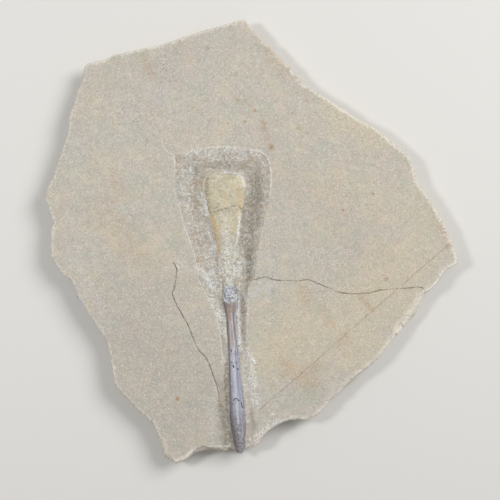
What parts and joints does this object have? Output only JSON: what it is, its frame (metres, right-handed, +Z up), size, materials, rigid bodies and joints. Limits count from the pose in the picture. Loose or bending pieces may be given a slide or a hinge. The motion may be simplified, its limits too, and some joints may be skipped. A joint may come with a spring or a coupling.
{
  "type": "fossil belemnite",
  "caption": "Belemnite fossil lying in a trench on a broken limestone slab: club-shaped calcite guard below, flattened chambered cone above.",
  "frame": {"origin": "middle of the bounding box, on the slab's flat underside", "axes": "+Z up out of the slab's top face, +Y along the fossil towards its wide end, +X to the right seen from above"},
  "size_m": [0.2894, 0.3106, 0.0176],
  "materials": {
    "limestone": "matt, fine-grained, scraped pale in the trench",
    "cone_cast": "smooth tan, chalky towards its narrow end",
    "calcite": "smooth, half glossy"
  },
  "bodies": {
    "root": {"slab": "limestone", "phragmocone": "cone_cast", "rostrum": "calcite"}
  },
  "joints": []
}
